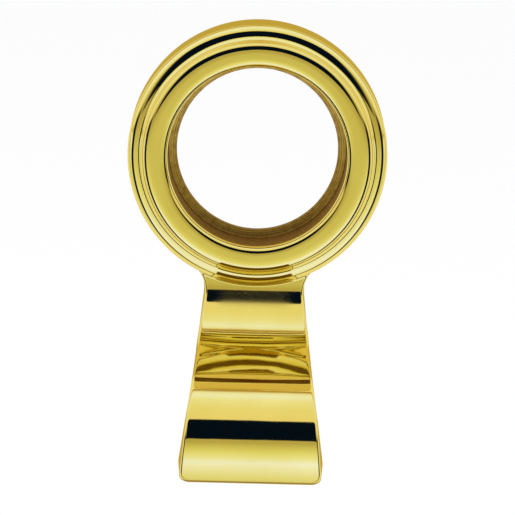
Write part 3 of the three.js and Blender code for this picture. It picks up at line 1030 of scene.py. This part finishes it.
def turned_metal(name, dark, light, roughness, centre_x, centre_z):
    """Bar stock off the lathe: fine rings round an axis along Y."""
    material, n = new_material(name)
    where = n.add("ShaderNodeTexCoord").outputs["Object"]
    rings = lathe_marks(n, where, centre_x, centre_z, 12000.0, 3.0)
    cloud = n.add("ShaderNodeTexNoise", {"Vector": where, "Scale": 500.0, "Detail": 4.0})
    colour = n.ramp(cloud.outputs["Fac"], [(0.3, dark), (0.7, light)])
    bump = n.add("ShaderNodeBump", {"Height": rings, "Strength": 0.3, "Distance": 0.00003})
    shader = n.add("ShaderNodeBsdfPrincipled", {
        "Base Color": colour, "Metallic": 1.0,
        "Roughness": n.between(rings, 0.3, 0.7, roughness * 0.8, roughness * 1.3),
        "Normal": bump.outputs[0],
    })
    n.add("ShaderNodeOutputMaterial", {"Surface": shader.outputs[0]})
    return material


# ------------------------------------------------------------ studio

# What the polished brass sees, by the angle above straight ahead, in degrees, going up and
# over the top to the room behind: a lit card in front and below, the dark slot that the
# camera looks through, the soft box above with its frame, then the warm room.
SLOT = (0.0015, 0.006, 0.042)
FRAME_EDGE = (0.52, 0.34, 0.08)
ROOM = (0.78, 0.63, 0.30)
BACK_OF_ROOM = (0.57, 0.40, 0.06)
STUDIO_BAND = (
    (-180, BACK_OF_ROOM), (-128, BACK_OF_ROOM), (-116, (0.34, 0.28, 0.16)),
    (-100, (0.36, 0.31, 0.20)), (-90, (0.80, 0.82, 0.70)), (-70, (0.93, 1.02, 1.15)),
    (-50, (1.05, 1.18, 2.3)), (-40, (1.07, 1.26, 3.1)), (-30, (1.00, 1.12, 1.55)),
    (-22, (0.93, 1.00, 0.95)), (-16, (0.83, 0.87, 0.68)), (-10, (0.72, 0.73, 0.52)),
    (-3, (0.57, 0.53, 0.34)), (2, (0.56, 0.52, 0.36)), (20, (0.78, 0.75, 0.55)),
    (38.5, (0.98, 0.94, 0.92)), (55, (0.97, 0.99, 0.98)), (70, (1.02, 1.10, 1.5)),
    (79, (1.03, 1.22, 2.5)), (84.5, (1.02, 1.12, 1.7)), (88, FRAME_EDGE), (91, FRAME_EDGE),
    (93.5, ROOM), (140, ROOM), (165, BACK_OF_ROOM), (180, BACK_OF_ROOM),
)
SLOT_EDGES = (1.5, 3.0, 36.5, 38.5)     # the same angle, where the dark slot begins and ends
SLOT_FADES = (30.0, 46.0)               # degrees aside of straight ahead where the slot fades out
DARK_STRIP = (42.0, 47.0, 76.0, 82.0)   # degrees aside where a dark strip stands, below the slot
SIDE_CARD = (88.0, 96.0, 138.0, 150.0)  # degrees aside where the white cards beside the pull stand
SIDE_CARD_COLOUR = (1.0, 1.0, 0.9)
SLOT_SEEN_TWICE = (0.15, 0.10, 0.045)   # the slot after a second bounce, filled by the lit brass
CAMERA_WHITE = (1.0, 1.0, 1.0, 1)


def studio_world():
    world = bpy.data.worlds.new("studio")
    bpy.context.scene.world = world
    world.use_nodes = True
    n = Nodes(world.node_tree)
    split = n.add("ShaderNodeSeparateXYZ", {0: n.add("ShaderNodeTexCoord").outputs["Generated"]})
    x, y, z = split.outputs
    ahead = n.math("MULTIPLY", y, -1.0)
    above = n.math("DEGREES", n.math("ARCTAN2", z, ahead))
    aside = n.math("DEGREES", n.math("ARCTAN2", n.math("ABSOLUTE", x), ahead))
    turn = n.math("ADD", n.math("DIVIDE", above, 360.0), 0.5)
    lit = n.ramp(turn, [((degrees + 180) / 360, colour) for degrees, colour in STUDIO_BAND])
    slot = n.math("MULTIPLY", n.window(above, *SLOT_EDGES), n.between(aside, *SLOT_FADES, 1.0, 0.0))
    strip = n.math("MULTIPLY", n.window(aside, *DARK_STRIP), n.between(z, 0.05, 0.2, 1.0, 0.0))
    lit = n.mix(n.window(aside, *SIDE_CARD), lit, (*SIDE_CARD_COLOUR, 1))
    rays = n.add("ShaderNodeLightPath")
    bounced_twice = n.between(rays.outputs["Ray Depth"], 2.2, 2.8)
    dark = n.mix(bounced_twice, (*SLOT, 1), (*SLOT_SEEN_TWICE, 1))
    lit = n.mix(n.math("MAXIMUM", slot, strip), lit, dark)
    plain = n.math("MAXIMUM", rays.outputs["Is Camera Ray"], rays.outputs["Is Diffuse Ray"])
    seen = n.mix(plain, lit, CAMERA_WHITE)
    background = n.add("ShaderNodeBackground", {"Color": seen, "Strength": 1.0})
    n.add("ShaderNodeOutputWorld", {"Surface": background.outputs[0]})


FLOOR_HALF = 6.0                # metres
FLOOR_DROP = 0.22               # metres below the part


def pale_floor():
    """A plain pale floor well below the pull, which hangs in the air as it would on its door."""
    material, n = new_material("pale_floor")
    shader = n.add("ShaderNodeBsdfDiffuse", {"Color": (0.97, 0.97, 0.97, 1)})
    n.add("ShaderNodeOutputMaterial", {"Surface": shader.outputs[0]})
    level = cad_low.z - FLOOR_DROP
    corners = [(x * FLOOR_HALF, y * FLOOR_HALF, level) for x, y in ((-1, -1), (1, -1), (1, 1), (-1, 1))]
    mesh = bpy.data.meshes.new("floor")
    mesh.from_pydata(corners, [], [(0, 1, 2, 3)])
    floor = bpy.data.objects.new("floor", mesh)
    mesh.materials.append(material)
    bpy.context.scene.collection.objects.link(floor)
    floor.visible_glossy = False


KEY_PLACE = (-0.25, -0.7, 0.9)  # metres
KEY_SIZE = 0.8                  # metres
KEY_POWER = 3.0                 # watts


def soft_key():
    """One large soft light above and in front. The brass sees the studio band instead of it."""
    light = bpy.data.lights.new("soft_key", "AREA")
    light.shape = "DISK"
    light.size = KEY_SIZE
    light.energy = KEY_POWER
    key = bpy.data.objects.new("soft_key", light)
    key.location = KEY_PLACE
    key.rotation_euler = (-key.location).to_track_quat("-Z", "Y").to_euler()
    key.visible_glossy = False
    bpy.context.scene.collection.objects.link(key)


# The camera stands level, above the pull, and looks down at it with a shifted lens, so that the
# door's plane stays true to the picture. The shift belongs to this place only: it is driven to
# zero as soon as the camera leaves its stand.
CAMERA_DISTANCE = 600.0
CAMERA_ABOVE_BORE = 106.48
FRAME_WIDTH = 91.8              # millimetres of the door's plane that the picture spans
BORE_ABOVE_CENTRE = 19.64       # the bore's axis above the picture's centre
CAMERA_ROLL = -1.4


def camera():
    data = bpy.data.cameras.new("camera")
    data.sensor_width = 36.0
    data.lens = data.sensor_width * CAMERA_DISTANCE / FRAME_WIDTH
    data.clip_start = 0.01
    data.clip_end = 30.0
    cam = bpy.data.objects.new("camera", data)
    stand = bpy.data.objects.new("camera_stand", None)
    for obj in (cam, stand):
        bpy.context.scene.collection.objects.link(obj)
    roll = math.radians(CAMERA_ROLL)
    stand.location = (CAMERA_ABOVE_BORE * math.sin(roll) * MM, -CAMERA_DISTANCE * MM,
                      (CAMERA_ABOVE_BORE + BORE_HEIGHT) * MM)
    stand.rotation_euler = (math.pi / 2, roll, 0)
    cam.parent = stand
    shift = -(CAMERA_ABOVE_BORE + BORE_ABOVE_CENTRE) / FRAME_WIDTH
    driver = data.driver_add("shift_y").driver
    driver.type = "SCRIPTED"
    for axis in "XYZ":
        variable = driver.variables.new()
        variable.name = axis.lower()
        variable.type = "SINGLE_PROP"
        target = variable.targets[0]
        target.id = cam
        target.data_path = f"location[{'XYZ'.index(axis)}]"
    driver.expression = f"{shift:.5f} if abs(x) + abs(y) + abs(z) < 0.001 else 0.0"
    bpy.context.scene.camera = cam


# ------------------------------------------------------------ assembly

def add_piece(obj, node, slot, *materials):
    for material in materials:
        obj.data.materials.append(material)
    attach(obj, "root")
    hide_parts(node)


bright_steel = turned_metal("bright_steel", (0.42, 0.43, 0.45), (0.66, 0.67, 0.69), 0.26,
                            SPIKE_SPACING, BORE_HEIGHT)
turned_brass = turned_metal("turned_brass", (0.60, 0.42, 0.12), (0.80, 0.62, 0.24), 0.22,
                            0.0, BORE_HEIGHT + SCREW_Z)
add_piece(brass_casting(), "pull_body", "polished_brass", polished_brass(), machined_bore(), cast_back())
add_piece(spike("steel_spike_left", -SPIKE_SPACING), "locating_spike_left", "bright_steel", bright_steel)
add_piece(spike("steel_spike_right", SPIKE_SPACING), "locating_spike_right", "bright_steel", bright_steel)
add_piece(fixing_screw(), "fixing_screw", "turned_brass", turned_brass)
add_piece(cup_washer(), "screw_cup", "turned_brass", turned_brass)

studio_world()
pale_floor()
soft_key()
camera()
bpy.context.scene.view_settings.view_transform = "Standard"
